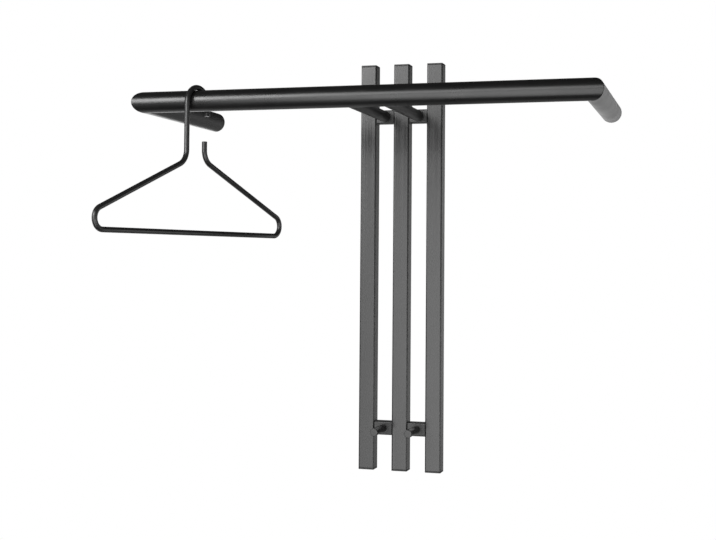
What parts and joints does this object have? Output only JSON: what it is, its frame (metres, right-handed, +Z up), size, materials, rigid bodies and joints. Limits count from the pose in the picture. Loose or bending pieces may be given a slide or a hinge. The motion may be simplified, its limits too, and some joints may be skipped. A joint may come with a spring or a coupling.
{
  "type": "wall coat rack",
  "caption": "Wall coat rack: mitred tube rail on arms and struts in front of upright square-tube slats and cross bars, with round coat pegs and a bent-rod hanger that slides on the rail.",
  "frame": {"origin": "middle of the centre slat's back, on the wall plane", "axes": "+X to the right along the rail, +Y into the wall, +Z up"},
  "size_m": [0.707, 0.5029, 0.666],
  "materials": {
    "black_steel": "satin black powder coat",
    "black_plastic": "moulded polyethylene, fine matt grain",
    "zinc_plated_steel": "zinc plated",
    "black_rod": "satin black powder coat"
  },
  "bodies": {
    "rack": {"rail_tube": "black_steel", "left_arm_tube": "black_steel", "right_arm_tube": "black_steel", "left_strut": "black_steel", "right_strut": "black_steel", "left_peg": "black_steel", "right_peg": "black_steel", "slat_left": "black_steel", "slat_centre": "black_steel", "slat_right": "black_steel", "left_upper_cross_bar": "black_steel", "right_upper_cross_bar": "black_steel", "left_lower_cross_bar": "black_steel", "right_lower_cross_bar": "black_steel", "left_wall_spigot": "black_steel", "right_wall_spigot": "black_steel", "left_top_plug": "black_plastic", "left_bottom_plug": "black_plastic", "centre_top_plug": "black_plastic", "centre_bottom_plug": "black_plastic", "right_top_plug": "black_plastic", "right_bottom_plug": "black_plastic", "left_set_screw": "zinc_plated_steel", "left_strut_insert": "zinc_plated_steel", "left_strut_bolt": "zinc_plated_steel", "left_strut_washer": "zinc_plated_steel", "left_peg_screw": "zinc_plated_steel", "right_set_screw": "zinc_plated_steel", "right_strut_insert": "zinc_plated_steel", "right_strut_bolt": "zinc_plated_steel", "right_strut_washer": "zinc_plated_steel", "right_peg_screw": "zinc_plated_steel"},
    "hanger": {"hanger": "black_rod"}
  },
  "joints": [
    {"name": "hanger_slide", "type": "slide", "parent": "rack", "child": "hanger", "axis": [1, 0, 0], "range_m": [-0.071, 0.2]}
  ]
}
